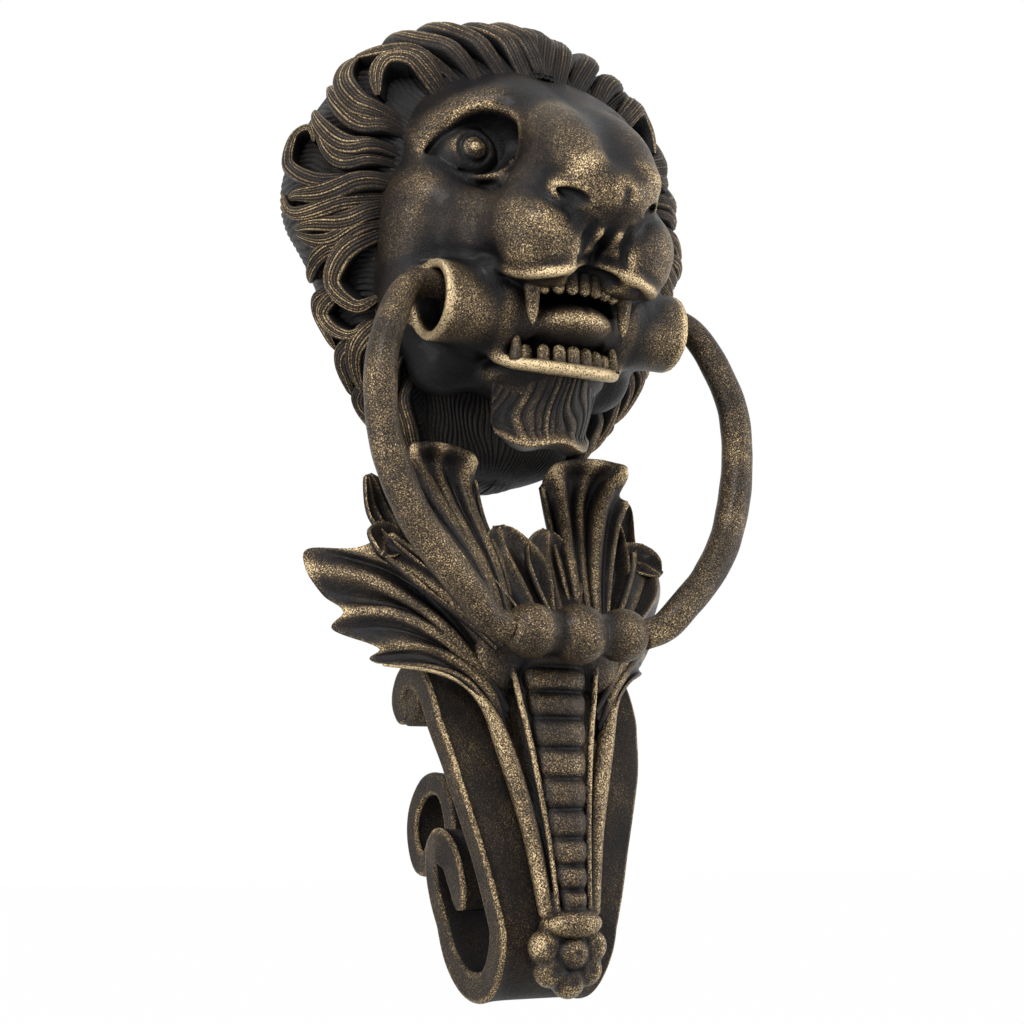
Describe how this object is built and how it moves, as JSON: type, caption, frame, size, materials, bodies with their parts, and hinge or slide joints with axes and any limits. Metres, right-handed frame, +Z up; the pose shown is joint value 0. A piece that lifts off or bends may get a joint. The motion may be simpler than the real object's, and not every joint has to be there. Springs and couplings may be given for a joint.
{
  "type": "lion head door knocker",
  "caption": "Cast lion's head door knocker: a hollow head with mouth sockets carries a swinging bail, an acanthus leaf drop and a scroll hammer that strikes the door.",
  "frame": {"origin": "centre of the middle rib on the head's flat back, where it bears on the door", "axes": "+Y into the door, -Y towards the visitor, +X to the visitor's right, +Z up"},
  "size_m": [0.1432, 0.1596, 0.3118],
  "materials": {
    "head_bronze": "near-black brown bronzing over the casting, brass colour rubbed on the raised hair and features, satin lacquer",
    "drop_bronze": "near-black brown bronzing over the casting, brass colour rubbed on the ribs and leaf edges, satin lacquer",
    "bail_bronze": "dark bronzing rubbed to a brass colour where it is handled, satin lacquer",
    "fixing_steel": "zinc plated"
  },
  "bodies": {
    "head": {"lion_head": "head_bronze", "fixing_stud_upper": "fixing_steel", "fixing_stud_lower": "fixing_steel", "fixing_washer_upper": "fixing_steel", "fixing_washer_lower": "fixing_steel", "fixing_nut_upper": "fixing_steel", "fixing_nut_lower": "fixing_steel"},
    "knocker": {"bail_arm_left": "bail_bronze", "bail_arm_right": "bail_bronze", "arm_pin_left": "fixing_steel", "arm_pin_right": "fixing_steel", "leaf_drop": "drop_bronze", "scroll_hammer": "drop_bronze", "rosette_screw": "bail_bronze"}
  },
  "joints": [
    {"name": "knocker_swing", "type": "hinge", "parent": "head", "child": "knocker", "pos_m": [0, -0.064, -0.02], "axis": [-1, 0, 0], "range_deg": [0, 95]}
  ]
}
